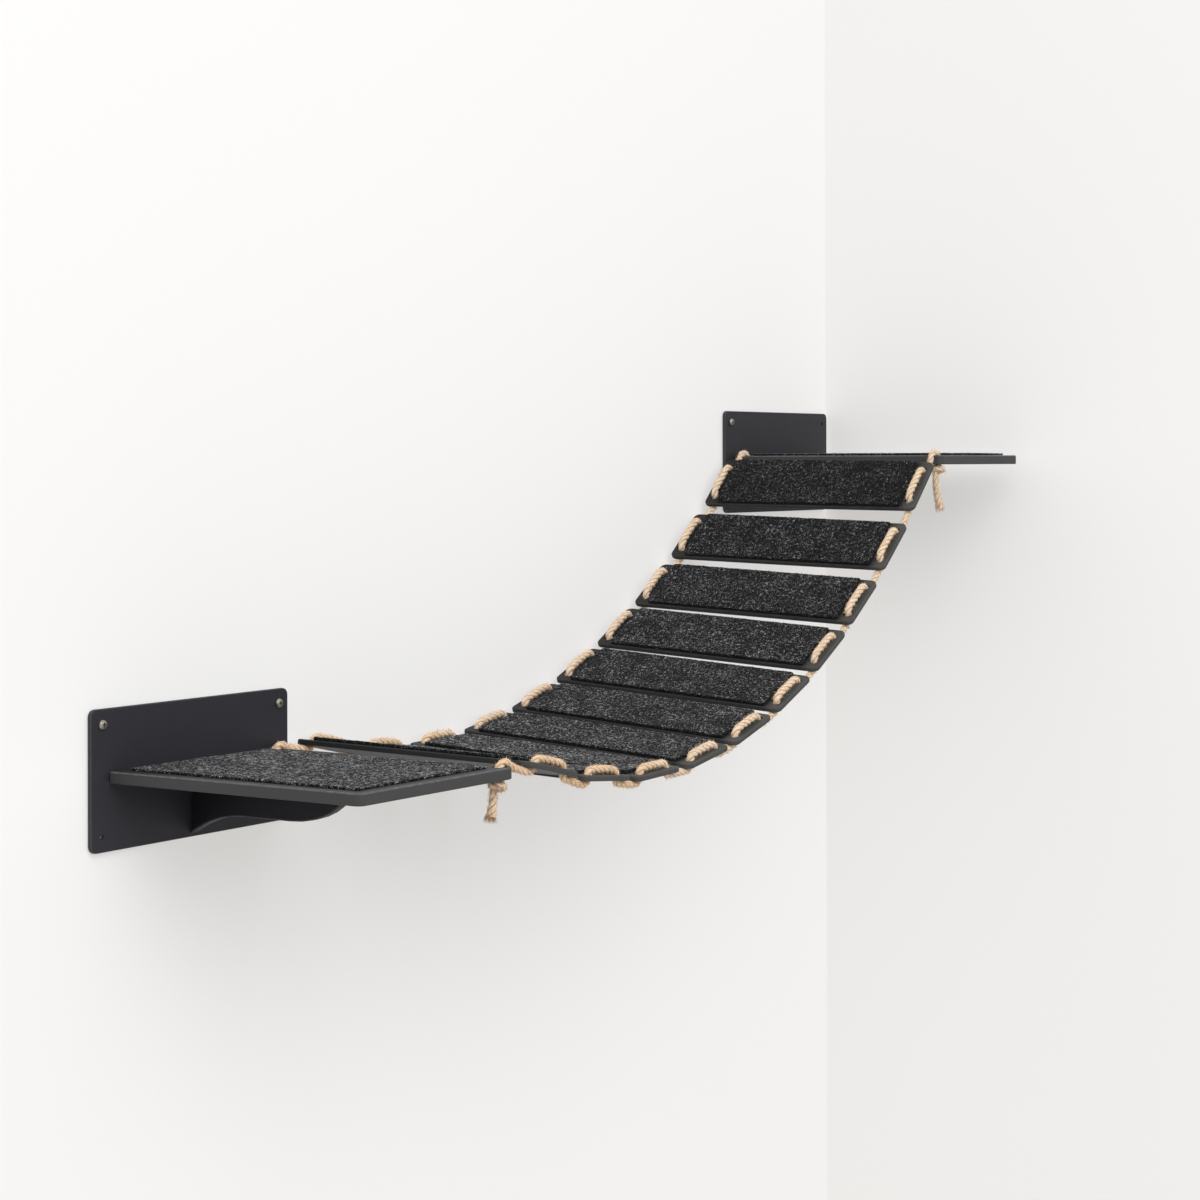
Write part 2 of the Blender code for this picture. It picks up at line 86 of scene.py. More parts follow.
# The walkway hangs in a catenary between the shelves' edges
def hangingLine():
    lowerEdge = bridge["shelfWidth"] / 2
    upperEdge = bridge["shelfSpacing"] - bridge["shelfWidth"] / 2
    span = upperEdge - lowerEdge
    rise = bridge["upperRise"]
    length = bridge["slackShare"] * math.hypot(span, rise)
    target = math.sqrt(length ** 2 - rise ** 2) / span
    low, high = 1e-3, 10.0
    for _ in range(60):                      # halving finds the catenary's parameter
        middle = (low + high) / 2
        if math.sinh(middle) / middle < target:
            low = middle
        else:
            high = middle
    parameter = span / (2 * middle)
    lowestX = (lowerEdge + upperEdge) / 2 - parameter * math.atanh(rise / length)
    endZ = bridge["shelfTop"] + bridge["hangAboveShelf"]
    lowestZ = endZ - parameter * (math.cosh((lowerEdge - lowestX) / parameter) - 1)
    return parameter, lowestX, lowestZ, length


def slatPlaces():
    parameter, lowestX, lowestZ, length = hangingLine()
    start = math.sinh((bridge["shelfWidth"] / 2 - lowestX) / parameter)
    shares = bridge["gapShares"]
    width = bridge["slatWidth"]
    free = length - bridge["lowerEndGap"] - bridge["upperEndGap"] - slatCount * width
    droop = math.atan2(bridge["frontDroop"], 2 * ropeReach)
    along = bridge["lowerEndGap"] + width / 2
    places = []
    for index in range(slatCount):
        offset = parameter * math.asinh(along / parameter + start)
        center = Vector((lowestX + offset, slatMiddleY,
                         lowestZ + parameter * (math.cosh(offset / parameter) - 1)))
        slope = math.atan(math.sinh(offset / parameter))
        roll = droop * math.sin(math.pi * along / length)
        places.append(Matrix.Translation(center) @ Euler((roll, -slope, 0)).to_matrix().to_4x4())
        if index < slatCount - 1:
            along += width + free * shares[index] / sum(shares)
    return places


places = slatPlaces()


# Shader sums are written as plain expressions on these
class Wire:
    # a shader socket that can stand in a sum; each operator adds its Math node
    def __init__(self, graph, socket):
        self.graph = graph
        self.socket = socket

    def math(self, operation, *values):
        return self.graph.node("ShaderNodeMath", {"operation": operation}, dict(enumerate(values)))

    def __add__(self, other):
        return self.math("ADD", self, other)

    def __radd__(self, other):
        return self.math("ADD", other, self)

    def __sub__(self, other):
        return self.math("SUBTRACT", self, other)

    def __rsub__(self, other):
        return self.math("SUBTRACT", other, self)

    def __mul__(self, other):
        return self.math("MULTIPLY", self, other)

    def __rmul__(self, other):
        return self.math("MULTIPLY", other, self)

    def __abs__(self):
        return self.math("ABSOLUTE", self)

    def sine(self):
        return self.math("SINE", self)

    def most(self, other):
        return self.math("MAXIMUM", self, other)

    def step(self, low, high):               # 0 below low, 1 above high, soft between them
        return self.graph.node("ShaderNodeMapRange", {"interpolation_type": "SMOOTHSTEP"},
                               {0: self, 1: low, 2: high, 3: 0.0, 4: 1.0})

    def other(self, output):                 # another output of the same node
        return Wire(self.graph, self.socket.node.outputs[output])


class Graph:
    # the nodes of a material, or of the world
    def __init__(self, owner):
        owner.use_nodes = True
        self.owner = owner
        self.tree = owner.node_tree
        self.tree.nodes.clear()

    def node(self, kind, settings=None, inputs=None, output=0):
        made = self.tree.nodes.new(kind)
        for key, value in (settings or {}).items():
            setattr(made, key, value)
        for key, value in (inputs or {}).items():
            socket = made.inputs[key]
            if isinstance(value, Wire):
                self.tree.links.new(value.socket, socket)
            elif hasattr(value, "__len__") and socket.type == "RGBA" and len(value) == 3:
                socket.default_value = (*value, 1.0)
            else:
                socket.default_value = value
        return Wire(self, made.outputs[output]) if made.outputs else None

    def coords(self, output="Object"):
        return self.node("ShaderNodeTexCoord", output=output)

    def noise(self, vector, scale, detail=2.0, roughness=0.5, output="Fac"):
        return self.node("ShaderNodeTexNoise", None,
                         {"Vector": vector, "Scale": scale, "Detail": detail,
                          "Roughness": roughness}, output)

    def mix(self, factor, first, second, blend="MIX"):      # colours
        return self.node("ShaderNodeMix", {"data_type": "RGBA", "blend_type": blend},
                         {0: factor, 6: first, 7: second}, 2)

    def vector(self, operation, first, second, output=0):
        return self.node("ShaderNodeVectorMath", {"operation": operation},
                         {0: first, 1: second}, output)

    def stretched(self, vector, scale, turn=0.0):
        return self.node("ShaderNodeMapping", None,
                         {"Vector": vector, "Rotation": (0.0, 0.0, turn), "Scale": scale})

    def shaded(self, colour, shade):         # a colour times a number
        grey = self.node("ShaderNodeCombineColor", None, {0: shade, 1: shade, 2: shade})
        return self.mix(1.0, colour, grey, "MULTIPLY")

    def bump(self, height, distance, strength):
        return self.node("ShaderNodeBump", None,
                         {"Height": height, "Distance": distance, "Strength": strength})

    def finish(self, inputs):
        shader = self.node("ShaderNodeBsdfPrincipled", None, inputs)
        self.node("ShaderNodeOutputMaterial", None, {"Surface": shader})
        return self.owner


def newMaterial(name):
    return Graph(bpy.data.materials.new(name))


# Painted boards
paint = {
    "plate": (0.0225, 0.0230, 0.0300),       # near-black anthracite, a little blue
    "shelf": (0.0205, 0.0212, 0.0240),
    "slat": (0.0110, 0.0116, 0.0120),
    # the brackets carry the shelves' paint, set much darker here as painted shade, because they sit
    # in shade under the shelves
    "bracket": (0.0040, 0.0041, 0.0075),
    "edge": (0.0500, 0.0510, 0.0530),        # cut edges take the paint paler
    "worn": (0.150, 0.152, 0.157),           # painted highlight along the rounded arrises
    "frontEnd": (0.066, 0.065, 0.060),       # the slats' front ends, paler over the stretch where the front rope runs
    "frontEndReach": (0.108, 0.122),         # from the slat's middle
    "roughness": 0.56,
    "gloss": 0.24,
    "cloudScale": 26.0,                      # noise scales are in turns per metre
    "fineScale": 900.0,
    "highlightPatchScale": 130.0,
    "grainScale": (40.0, 420.0, 420.0),      # the grain runs along the wall
    "grainDepth": 0.00012,
    "grainStrength": 0.55,
}


def boardPaint(name, face, edgeShare, highlightAmount, broadSide, slatPlace=None):
    # the way that the broad side faces tells it from the cut edges and the rounded arris; on a
    # slat the pale edge stays at its two ends, and the front end is greyer
    g = newMaterial(name)
    place = g.coords()
    facing = g.coords("Normal")
    upward = g.vector("DOT_PRODUCT", facing, tuple(broadSide), "Value")
    cutEdge = (1 - abs(upward).step(0.35, 0.85)) * edgeShare
    cloudy = g.noise(place, paint["cloudScale"], 3.0, 0.6)
    if slatPlace is not None:
        endWay = tuple(slatPlace.to_3x3() @ Vector((0, -1, 0)))
        cutEdge = cutEdge * abs(g.vector("DOT_PRODUCT", facing, endWay, "Value")).step(0.3, 0.8)
        fromMiddle = g.vector("SUBTRACT", place, tuple(slatPlace.translation))
        reach = g.vector("DOT_PRODUCT", fromMiddle, endWay, "Value")
        face = g.mix(reach.step(*paint["frontEndReach"]) * (0.4 + 0.8 * cloudy), face,
                     paint["frontEnd"])
    fine = g.noise(place, paint["fineScale"], 2.0, 0.6)
    grain = g.noise(g.stretched(place, paint["grainScale"]), 1.0, 3.0, 0.55)
    arris = upward.step(0.10, 0.35) * (1 - upward.step(0.94, 0.99))      # the rounded edge on the broad side, which takes a painted highlight
    # a painted highlight in patches along that edge, where light catches the round; the edge is
    # also made less rough there
    patchy = g.noise(place, paint["highlightPatchScale"], 4.0, 0.7).step(0.40, 0.66)
    paintedHighlight = arris * (0.50 + 0.50 * patchy) * highlightAmount
    body = g.shaded(g.mix(cutEdge, face, paint["edge"]),
                    0.90 + 0.20 * cloudy + 0.10 * (fine - 0.5) + 0.10 * (grain - 0.5))
    colour = g.mix(paintedHighlight, body, paint["worn"])
    rough = paint["roughness"] + 0.10 * (cloudy - 0.5) + 0.12 * cutEdge - 0.12 * paintedHighlight
    height = fine * 0.5 + grain * 0.6
    return g.finish({"Base Color": colour, "Roughness": rough,
                     "Specular IOR Level": paint["gloss"],
                     "Normal": g.bump(height, paint["grainDepth"], paint["grainStrength"])})


def dress(node, material):
    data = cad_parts[node].data
    data.materials.clear()
    data.materials.append(material)


boards = (
    ("plate", "_wall_plate", 0.6, 0.15, (0, -1, 0)),
    ("shelf", "_shelf_board", 1.0, 0.75, (0, 0, 1)),
    ("bracket", "_bracket", 0.10, 0.20, (-1, 0, 0)),
)
for word, ending, edgeShare, highlightAmount, broadSide in boards:
    boardFinish = boardPaint(word + "_paint", paint[word], edgeShare, highlightAmount, broadSide)
    for unitName in ("lower", "upper"):
        dress(unitName + ending, boardFinish)
for number, slatPlace in enumerate(places, 1):
    slatUp = slatPlace.to_3x3() @ Vector((0, 0, 1))
    dress(f"slat_{number:02d}",
          boardPaint(f"slat_paint_{number:02d}", paint["slat"], edgeShare=0.75, highlightAmount=0.15,
                     broadSide=slatUp, slatPlace=slatPlace))
print("boards painted")


# Screws
screw = {
    "brass": (0.39, 0.365, 0.305),
    "zinc": (0.60, 0.60, 0.59),
    "dirt": (0.045, 0.040, 0.032),
    "roughness": 0.46,
    "recessReach": 0.0021,                   # how far from the middle the painted shade of the driver's recess reaches
    "fineScale": 1500.0,
    "stainScale": 420.0,
    "turningScale": (2600.0, 300.0, 2600.0),
    "turningDepth": 0.00004,
}


def screwMetal(name, colour, center=None):
    g = newMaterial(name)
    place = g.coords()
    fine = g.noise(place, screw["fineScale"], 3.0, 0.6)
    stainAndRecessShade = g.noise(place, screw["stainScale"], 4.0, 0.7).step(0.52, 0.78)
    if center is not None:
        fromAxis = g.vector("MULTIPLY", g.vector("SUBTRACT", place, tuple(center)),
                            (1.0, 0.0, 1.0))
        away = g.vector("LENGTH", fromAxis, (0, 0, 0), "Value")
        # painted shade: a dark disc in the middle of the head, where the driver's recess is, joins
        # the real stains
        stainAndRecessShade = stainAndRecessShade.most(1 - away.step(screw["recessReach"] * 0.60, screw["recessReach"]))
    turned = g.noise(g.stretched(place, screw["turningScale"]), 1.0, 2.0)
    tone = g.mix(stainAndRecessShade * 0.80, colour, screw["dirt"])
    rough = screw["roughness"] + 0.25 * stainAndRecessShade + 0.12 * (fine - 0.5)
    return g.finish({"Base Color": tone, "Roughness": rough, "Metallic": 1 - 0.6 * stainAndRecessShade,
                     "Normal": g.bump(turned + fine, screw["turningDepth"], 0.6)})


zincScrew = screwMetal("zinc_screw", screw["zinc"])
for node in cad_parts:
    if node.startswith("wall_screw"):
        low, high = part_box(node)
        dress(node, screwMetal("brass_" + node[5:], screw["brass"], (low + high) / 2))
    elif "_screw_" in node:
        dress(node, zincScrew)
print("screws finished")


# Fibres are thin closed spikes, shared by felt and rope
spike = {
    "sides": 3,
    "middle": 0.8,                           # thickness half way, over the root's
    "roughness": 0.85,
    "gloss": 0.2,
}


def fibreSet(word, tones):
    # fibres are a tenth of a millimetre thick, so each tone is one colour
    return [newMaterial(f"{word}_fibre_{i}").finish(
        {"Base Color": (*tone, 1.0), "Roughness": spike["roughness"],
         "Specular IOR Level": spike["gloss"]}) for i, tone in enumerate(tones, 1)]


def placed(name, data):
    made = bpy.data.objects.new(name, data)
    bpy.context.scene.collection.objects.link(made)
    return made


def joined(name, points, faces, materials, slots=None, smooth=True):
    mesh = bpy.data.meshes.new(name)
    mesh.from_pydata(points, [], faces)
    for material in materials:
        mesh.materials.append(material)
    if slots is not None:
        mesh.polygons.foreach_set("material_index", np.asarray(slots, np.int32))
    if smooth:
        mesh.shade_smooth()
    mesh.update()
    return placed(name, mesh)


def oneLong(vectors):
    return vectors / np.maximum(np.linalg.norm(vectors, axis=-1, keepdims=True), 1e-12)


def swung(first, second, turns, squash=1.0):
    # ways at these angles from the first way towards the second
    return first * np.cos(turns)[..., None] + second * np.sin(turns)[..., None] * squash


def spikes(name, roots, leads, bends, thick, tones, materials):
    # roots and leads (the way to the tip, with its length) are n x 3; bends move the middle
    away = oneLong(leads)
    helper = np.where(np.abs(away[:, 2:]) < 0.8, (0.0, 0.0, 1.0), (1.0, 0.0, 0.0))
    side = oneLong(np.cross(away, helper))
    other = np.cross(away, side)
    sides = spike["sides"]
    turns = np.arange(sides) * 2 * math.pi / sides
    ring = swung(side[:, None], other[:, None], turns) * thick[:, None, None] / 2
    low = roots[:, None] + ring
    mid = (roots + leads * 0.5 + bends)[:, None] + ring * spike["middle"]
    tip = (roots + leads)[:, None]
    points = np.concatenate([low, mid, tip], axis=1).reshape(-1, 3)
    each = 2 * sides + 1                     # a spike has as many points as faces
    faces, slots = [], []
    for index, tone in enumerate(tones):
        a = index * each
        faces.append(tuple(range(a + sides - 1, a - 1, -1)))
        for i in range(sides):
            j = (i + 1) % sides
            faces.append((a + i, a + j, a + sides + j, a + sides + i))
            faces.append((a + sides + i, a + sides + j, a + 2 * sides))
        slots += [tone] * each
    return joined(name, points.tolist(), faces, materials, slots)


# Felt pads
felt = {
    "slatThickness": 0.0030,
    "shelfThickness": 0.0020,
    "cornerRadius": 0.0030,
    "edgeRadius": 0.0008,
    "spacing": 0.0012,                       # mesh cell
    "slatEndMargin": 0.017,
    "slatSideMargin": 0.002,
    "shelfMargin": 0.012,
    "shelfBridgeMargin": 0.021,
    "lumpHeight": 0.00025,
    "lumpFrequency": 85,
    "slatTuft": 0.00042,                     # how high tufts stand up
    "shelfTuft": 0.00020,
    "tuftFrequency": 330,
    "topScatter": 0.00007,
    "cutWander": 0.00022,                    # how far the cut edge strays
    "cutFrequencies": (90, 310),
    "cutScatter": 0.00005,
    "edgeTurns": (35, 65, 90),               # degrees at which the top edge rounds over
    "dark": (0.0026, 0.0028, 0.0033),
    "middle": (0.0138, 0.0144, 0.0158),
    "pale": (0.6200, 0.6270, 0.6380),
    # painted shade on the felt's cut sides
    "cutSide": (0.0060, 0.0062, 0.0072),
    # how many pale flecks: on each slat from the lowest, and on the lower and upper shelf; the felt
    # is the same on every pad, and the lower pads get more as painted light, for the light that
    # their fuzz catches
    "slatFlecksAndLight": (1.2, 1.2, 1.15, 0.95, 0.85, 0.8, 0.8, 0.7, 0.6, 0.45),
    "shelfFlecksAndLight": (1.15, 0.8),
    "slatGrain": (1.0, 1.1, 1.3, 1.6, 1.8, 1.9, 1.9, 1.9, 1.9, 1.9),     # fineness of the flecks
    "shelfGrain": 1.2,
    "strayScale": 260.0,                     # how the needled threads wander
    "strayReach": 0.0035,
    "threadTurns": (0.25, 1.35, 2.40),       # pale hairs are needled in three directions
    "threadScale": (200.0, 470.0, 400.0),
    "patchScale": 48.0,
    "tuftScale": 430.0,
    "fineScale": 1400.0,
    "reliefDepth": 0.0011,
    "shelfSeed": 21,
    "fibreSeed": 500,                        # added to the pad's own
    "fibresPerSquareCentimetre": 20.0,
    "fibreLength": (0.0014, 0.0045),
    "fibreThickness": (0.00010, 0.00020),
    "rootScatter": 0.0007,
    "rootDepth": 0.0001,
    "standingShare": 0.15,
    "standingClimb": (0.25, 0.70),
    "standingLength": 0.45,                  # over that of a lying one
    "lyingClimb": (0.02, 0.16),
    "pastEdge": 0.0006,
    "sideBend": 0.0004,
    "arch": (0.0001, 0.0004),
    "palest": 0.45,                          # share of pale fibres on a pad with many flecks
    "middling": 0.40,
    "fibreTones": ((0.34, 0.345, 0.355), (0.090, 0.092, 0.096), (0.008, 0.008, 0.009)),
}


def feltCloth(name, flecksAndLight, grain, paintedSideShade):
    # the mesh carries an attribute that is 1 on the cut edge, which takes painted shade, and
    # "tuftRise", how far a tuft stands up
    g = newMaterial(name)
    place = g.coords()
    stray = g.noise(place, felt["strayScale"], 2.0, output="Color")
    strayed = g.vector("ADD", place, g.vector("MULTIPLY", stray, (felt["strayReach"],) * 3))
    threadScale = tuple(scale * grain for scale in felt["threadScale"])
    threads = None
    for turn in felt["threadTurns"]:
        layer = g.noise(g.stretched(strayed, threadScale, turn), 1.0, 3.0, 0.62)
        threads = layer if threads is None else threads.most(layer)
    rise = g.node("ShaderNodeAttribute", {"attribute_name": "tuftRise"}, output="Fac")
    patch = g.noise(place, felt["patchScale"], 3.0, 0.6)
    sparse = 0.685 - 0.065 * flecksAndLight          # above this noise value a thread shows pale
    fleck = (threads + 0.14 * (patch - 0.5) + 0.10 * rise).step(sparse - 0.015, sparse + 0.045)
    tuft = g.noise(strayed, felt["tuftScale"], 3.0, 0.65)
    shaded = (tuft + 0.5 * (patch - 0.5) + 0.20 * rise).step(0.36, 0.72)
    ground = g.mix(shaded, felt["dark"], felt["middle"])
    paleness = fleck * (0.45 + 0.55 * tuft.step(0.35, 0.60)) * min(1.0, 0.4 + 0.6 * flecksAndLight)
    colour = g.mix(paleness, ground, felt["pale"])
    cutSide = g.node("ShaderNodeAttribute", {"attribute_name": "cutSide"}, output="Fac")
    colour = g.mix(cutSide * paintedSideShade, colour, felt["cutSide"])
    height = tuft * 0.7 + fleck * 0.5 + g.noise(strayed, felt["fineScale"], 2.0) * 0.4
    return g.finish({"Base Color": colour, "Roughness": 0.95, "Specular IOR Level": 0.06,
                     "Sheen Weight": 0.09, "Sheen Roughness": 0.5,
                     "Sheen Tint": (0.62, 0.64, 0.68, 1.0),
                     "Normal": g.bump(height, felt["reliefDepth"], 0.9)})


feltFibres = fibreSet("felt", felt["fibreTones"])


def padSurface(width, depth, tall, tuftHeight, seed):
    # a needled slab in its own axes, its underside at z = 0: its points and faces, how many
    # points are on top and in each ring round the edge, and how far each tuft stands up
    draw = np.random.default_rng(seed)
    cellsX, cellsY = round(width / felt["spacing"]), round(depth / felt["spacing"])
    edge, corner = felt["edgeRadius"], felt["cornerRadius"]
    x = np.linspace(-width / 2 + edge, width / 2 - edge, cellsX + 1)
    y = np.linspace(-depth / 2 + edge, depth / 2 - edge, cellsY + 1)
    gx, gy = np.meshgrid(x, y, indexing="ij")
    inner = np.array((width / 2 - corner, depth / 2 - corner))
    flat = np.stack([gx, gy], axis=-1)
    past = np.maximum(np.abs(flat) - inner, 0)
    far = past.max(axis=-1)                  # square corners are drawn in to round ones
    both = (past > 0).all(axis=-1)
    drawn = np.sign(flat) * (inner + oneLong(past) * far[..., None])
    flat = np.where(both[..., None], drawn, flat)
    count = (cellsX + 1) * (cellsY + 1)
    top = np.concatenate([flat.reshape(-1, 2), np.full((count, 1), tall)], axis=1)
    index = np.arange(count).reshape(cellsX + 1, cellsY + 1)
    faces = np.stack([index[:-1, :-1], index[1:, :-1], index[1:, 1:], index[:-1, 1:]],
                     axis=-1).reshape(-1, 4).tolist()
    loop = np.concatenate([index[:, 0], index[-1, 1:], index[-2::-1, -1], index[0, -2:0:-1]])
    rim = top[loop, :2]
    out = oneLong(rim - np.clip(rim, -inner, inner))
    rings = [(edge * math.sin(t), tall - edge * (1 - math.cos(t)))
             for t in np.radians(felt["edgeTurns"])] + [(edge, tall * 0.38), (edge * 0.9, 0.0)]
    points = [top]
    shift = Vector((seed * 7.3, seed * 3.1, 0))      # no two pads are alike
    coarse, fine = felt["cutFrequencies"]
    stray = np.array([
        felt["cutWander"] * (noise.noise(Vector((*p, 0)) * coarse + shift)
                             + 0.8 * noise.noise(Vector((*p, 0)) * fine + shift))
        for p in rim])
    start = count
    last = loop
    for number, (reach, height) in enumerate(rings):
        scatter = draw.normal(0, felt["cutScatter"], len(rim))
        wander = stray * (number + 1) / len(rings) + scatter
        ring = rim + out * (reach + wander)[:, None]
        points.append(np.concatenate([ring, np.full((len(rim), 1), height)], axis=1))
        ids = np.arange(start, start + len(rim))
        after = np.roll(ids, -1)
        faces += np.stack([last, ids, after, np.roll(last, -1)], axis=-1).tolist()
        start += len(rim)
        last = ids
    faces.append(last[::-1].tolist())
    points = np.concatenate(points)
    raised = points[:, 2] > tall * 0.5
    lumps, tufts = (np.array([noise.noise(Vector(p) * frequency + shift) for p in points[raised]])
                    for frequency in (felt["lumpFrequency"], felt["tuftFrequency"]))
    rise = np.zeros(len(points), np.float32)
    rise[raised] = tufts
    points[raised, 2] += (felt["lumpHeight"] * lumps + tuftHeight * tufts
                          + draw.normal(0, felt["topScatter"], raised.sum()))
    return points, faces, count, len(rim), rise


def layPad(name, width, depth, tall, tuftHeight, place, body, node, seed, cloth, flecksAndLight):
    points, faces, count, ringCount, rise = padSurface(width, depth, tall, tuftHeight, seed)
    draw = np.random.default_rng(seed + felt["fibreSeed"])
    turn = np.array(place.to_3x3())
    at = np.array(place.translation)
    pad = joined(name, (points @ turn.T + at).tolist(), faces, [cloth])
    # the cut sides, and a little of the top's rounded edge, are marked for painted shade
    side = np.zeros(len(points), np.float32)
    side[count:] = 1.0
    side[count:count + ringCount] = 0.3
    for word, values in (("cutSide", side), ("tuftRise", rise)):
        pad.data.attributes.new(word, "FLOAT", "POINT").data.foreach_set("value", values)
    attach(pad, body)
    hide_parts(node)
    # loose hairs lie on the top, some stand up, and a few stand off the cut edges
    amount = int(width * depth * 1e4 * felt["fibresPerSquareCentimetre"])
    picks = draw.integers(0, len(points) - 1, amount)
    picks = picks[points[picks, 2] > tall * 0.2]
    amount = len(picks)
    scatter = felt["rootScatter"]
    roots = points[picks] + np.stack([*draw.uniform(-scatter, scatter, (2, amount)),
                                      np.full(amount, -felt["rootDepth"])], axis=1)
    ways = draw.uniform(0, 2 * math.pi, amount)
    lengths = draw.uniform(*felt["fibreLength"], amount)
    standing = draw.uniform(0, 1, amount) < felt["standingShare"]
    climb = np.where(standing, draw.uniform(*felt["standingClimb"], amount),
                     draw.uniform(*felt["lyingClimb"], amount))
    lengths = np.where(standing, lengths * felt["standingLength"], lengths)
    leads = np.stack([np.cos(ways), np.sin(ways), climb], axis=1) * lengths[:, None]
    limit = np.array((width / 2, depth / 2)) + felt["pastEdge"]
    leads[:, :2] = np.clip(roots[:, :2] + leads[:, :2], -limit, limit) - roots[:, :2]
    bends = np.stack([*draw.normal(0, felt["sideBend"], (2, amount)),
                      draw.uniform(*felt["arch"], amount)], axis=1)
    thick = draw.uniform(*felt["fibreThickness"], amount)
    pale = felt["palest"] * min(1.0, flecksAndLight)
    tones = draw.choice(3, amount, p=(pale, felt["middling"], 1 - felt["middling"] - pale))
    hairs = spikes(name + "_hairs", roots @ turn.T + at, leads @ turn.T, bends @ turn.T, thick,
                   tones, feltFibres)
    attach(hairs, body)


for number, (slatPlace, flecksAndLight, grain) in enumerate(zip(places, felt["slatFlecksAndLight"],
                                                        felt["slatGrain"]), 1):
    onTop = Matrix.Translation((0, 0, bridge["slatThickness"] / 2 + bridge["touchGap"] / 2))
    layPad(f"slat_pad_{number:02d}", bridge["slatWidth"] - 2 * felt["slatSideMargin"],
           bridge["slatLength"] - 2 * felt["slatEndMargin"], felt["slatThickness"],
           felt["slatTuft"], slatPlace @ onTop, f"slat_{number:02d}", f"slat_felt_{number:02d}",
           number, feltCloth(f"slat_felt_cloth_{number:02d}", flecksAndLight, grain, paintedSideShade=0.9),
           flecksAndLight)
shelfDepth = bridge["slatLength"] + bridge["shelfOverhang"]
for index, (unitName, at, bridgeSide) in enumerate(units):
    padWidth = bridge["shelfWidth"] - felt["shelfMargin"] - felt["shelfBridgeMargin"]
    padMiddle = Vector((bridgeSide * (felt["shelfMargin"] - felt["shelfBridgeMargin"]) / 2,
                        -bridge["plateThickness"] - shelfDepth / 2,
                        bridge["shelfTop"] + bridge["touchGap"] / 2))
    flecksAndLight = felt["shelfFlecksAndLight"][index]
    layPad(unitName + "_shelf_pad", padWidth, shelfDepth - 2 * felt["shelfMargin"],
           felt["shelfThickness"], felt["shelfTuft"], Matrix.Translation(at + padMiddle),
           "wall_units", unitName + "_shelf_felt", felt["shelfSeed"] + index,
           feltCloth(unitName + "_shelf_felt_cloth", flecksAndLight, felt["shelfGrain"], paintedSideShade=0.3),
           flecksAndLight)
print("felt pads laid")


# Ropes
rope = {
    "radius": 0.00365,                       # of the laid core, its fuzz stands out to 4 mm
    "strandOffset": 0.00145,                 # strand's middle to the rope's middle
    "strandRadius": 0.00210,
    "strandSquash": 1.10,                    # a slanting strand is cut wider than it is high
    "pitch": 0.0215,                         # length of one full turn of the lay
    "lumpHeight": 0.00042,
    "lumpFrequency": 420,
    "swelling": 0.06,                        # how much its thickness varies along it
    "swellingFrequency": 42,
    "sharpAngle": 65.0,
    "sides": 14,
    "step": 0.0011,
    "lit": (1.000, 0.850, 0.665),
    "tan": (0.930, 0.645, 0.425),
    "walkedLit": (1.000, 0.790, 0.560),
    "walkedTan": (0.890, 0.570, 0.350),
    # dark fibres and stains, and painted shade in the grooves between the strands
    "darkAndCreaseShade": (0.255, 0.142, 0.078),
    "brown": (0.270, 0.155, 0.085),          # the ends below the shelves: dirt, and painted shade
    "yarnsPerStrand": 7.0,
    "yarnPitch": 0.0075,
    "unrolledRadius": 0.0024,
    "threadScale": (4200.0, 560.0, 1.0),
    "threadTurn": 0.55,
    "cloudScale": 150.0,
    "blotchScale": 330.0,
    "reliefDepth": 0.0006,
    "strandShift": 0.37,                     # no two strands carry the same pattern
    "fuzzSeed": 900,
    "hairsPerMillimetre": 18.0,
    "bareSamples": 4,
    "walkedPieces": 6,                       # from the lower shelf, soiled and warmer
    "hairLength": (0.0010, 0.0042),
    "hairThickness": (0.00014, 0.00024),
    "hairSpread": 0.9,                       # round the strand, in radians
    "hairRoot": 0.92,                        # over the strand's radius
    "hairOutward": (0.15, 1.0),
    "hairForward": (0.3, 1.2),
    "hairScatter": 0.30,
    "hairCurl": 0.16,
    "hairShortness": 2.4,                    # a power: most hairs are short
    "hairShares": (0.52, 0.28, 0.20),
    "hairTones": ((1.00, 0.85, 0.665), (0.86, 0.59, 0.385), (0.40, 0.24, 0.135)),
    "walkedHairTones": ((1.00, 0.79, 0.56), (0.83, 0.53, 0.32), (0.38, 0.21, 0.11)),
}


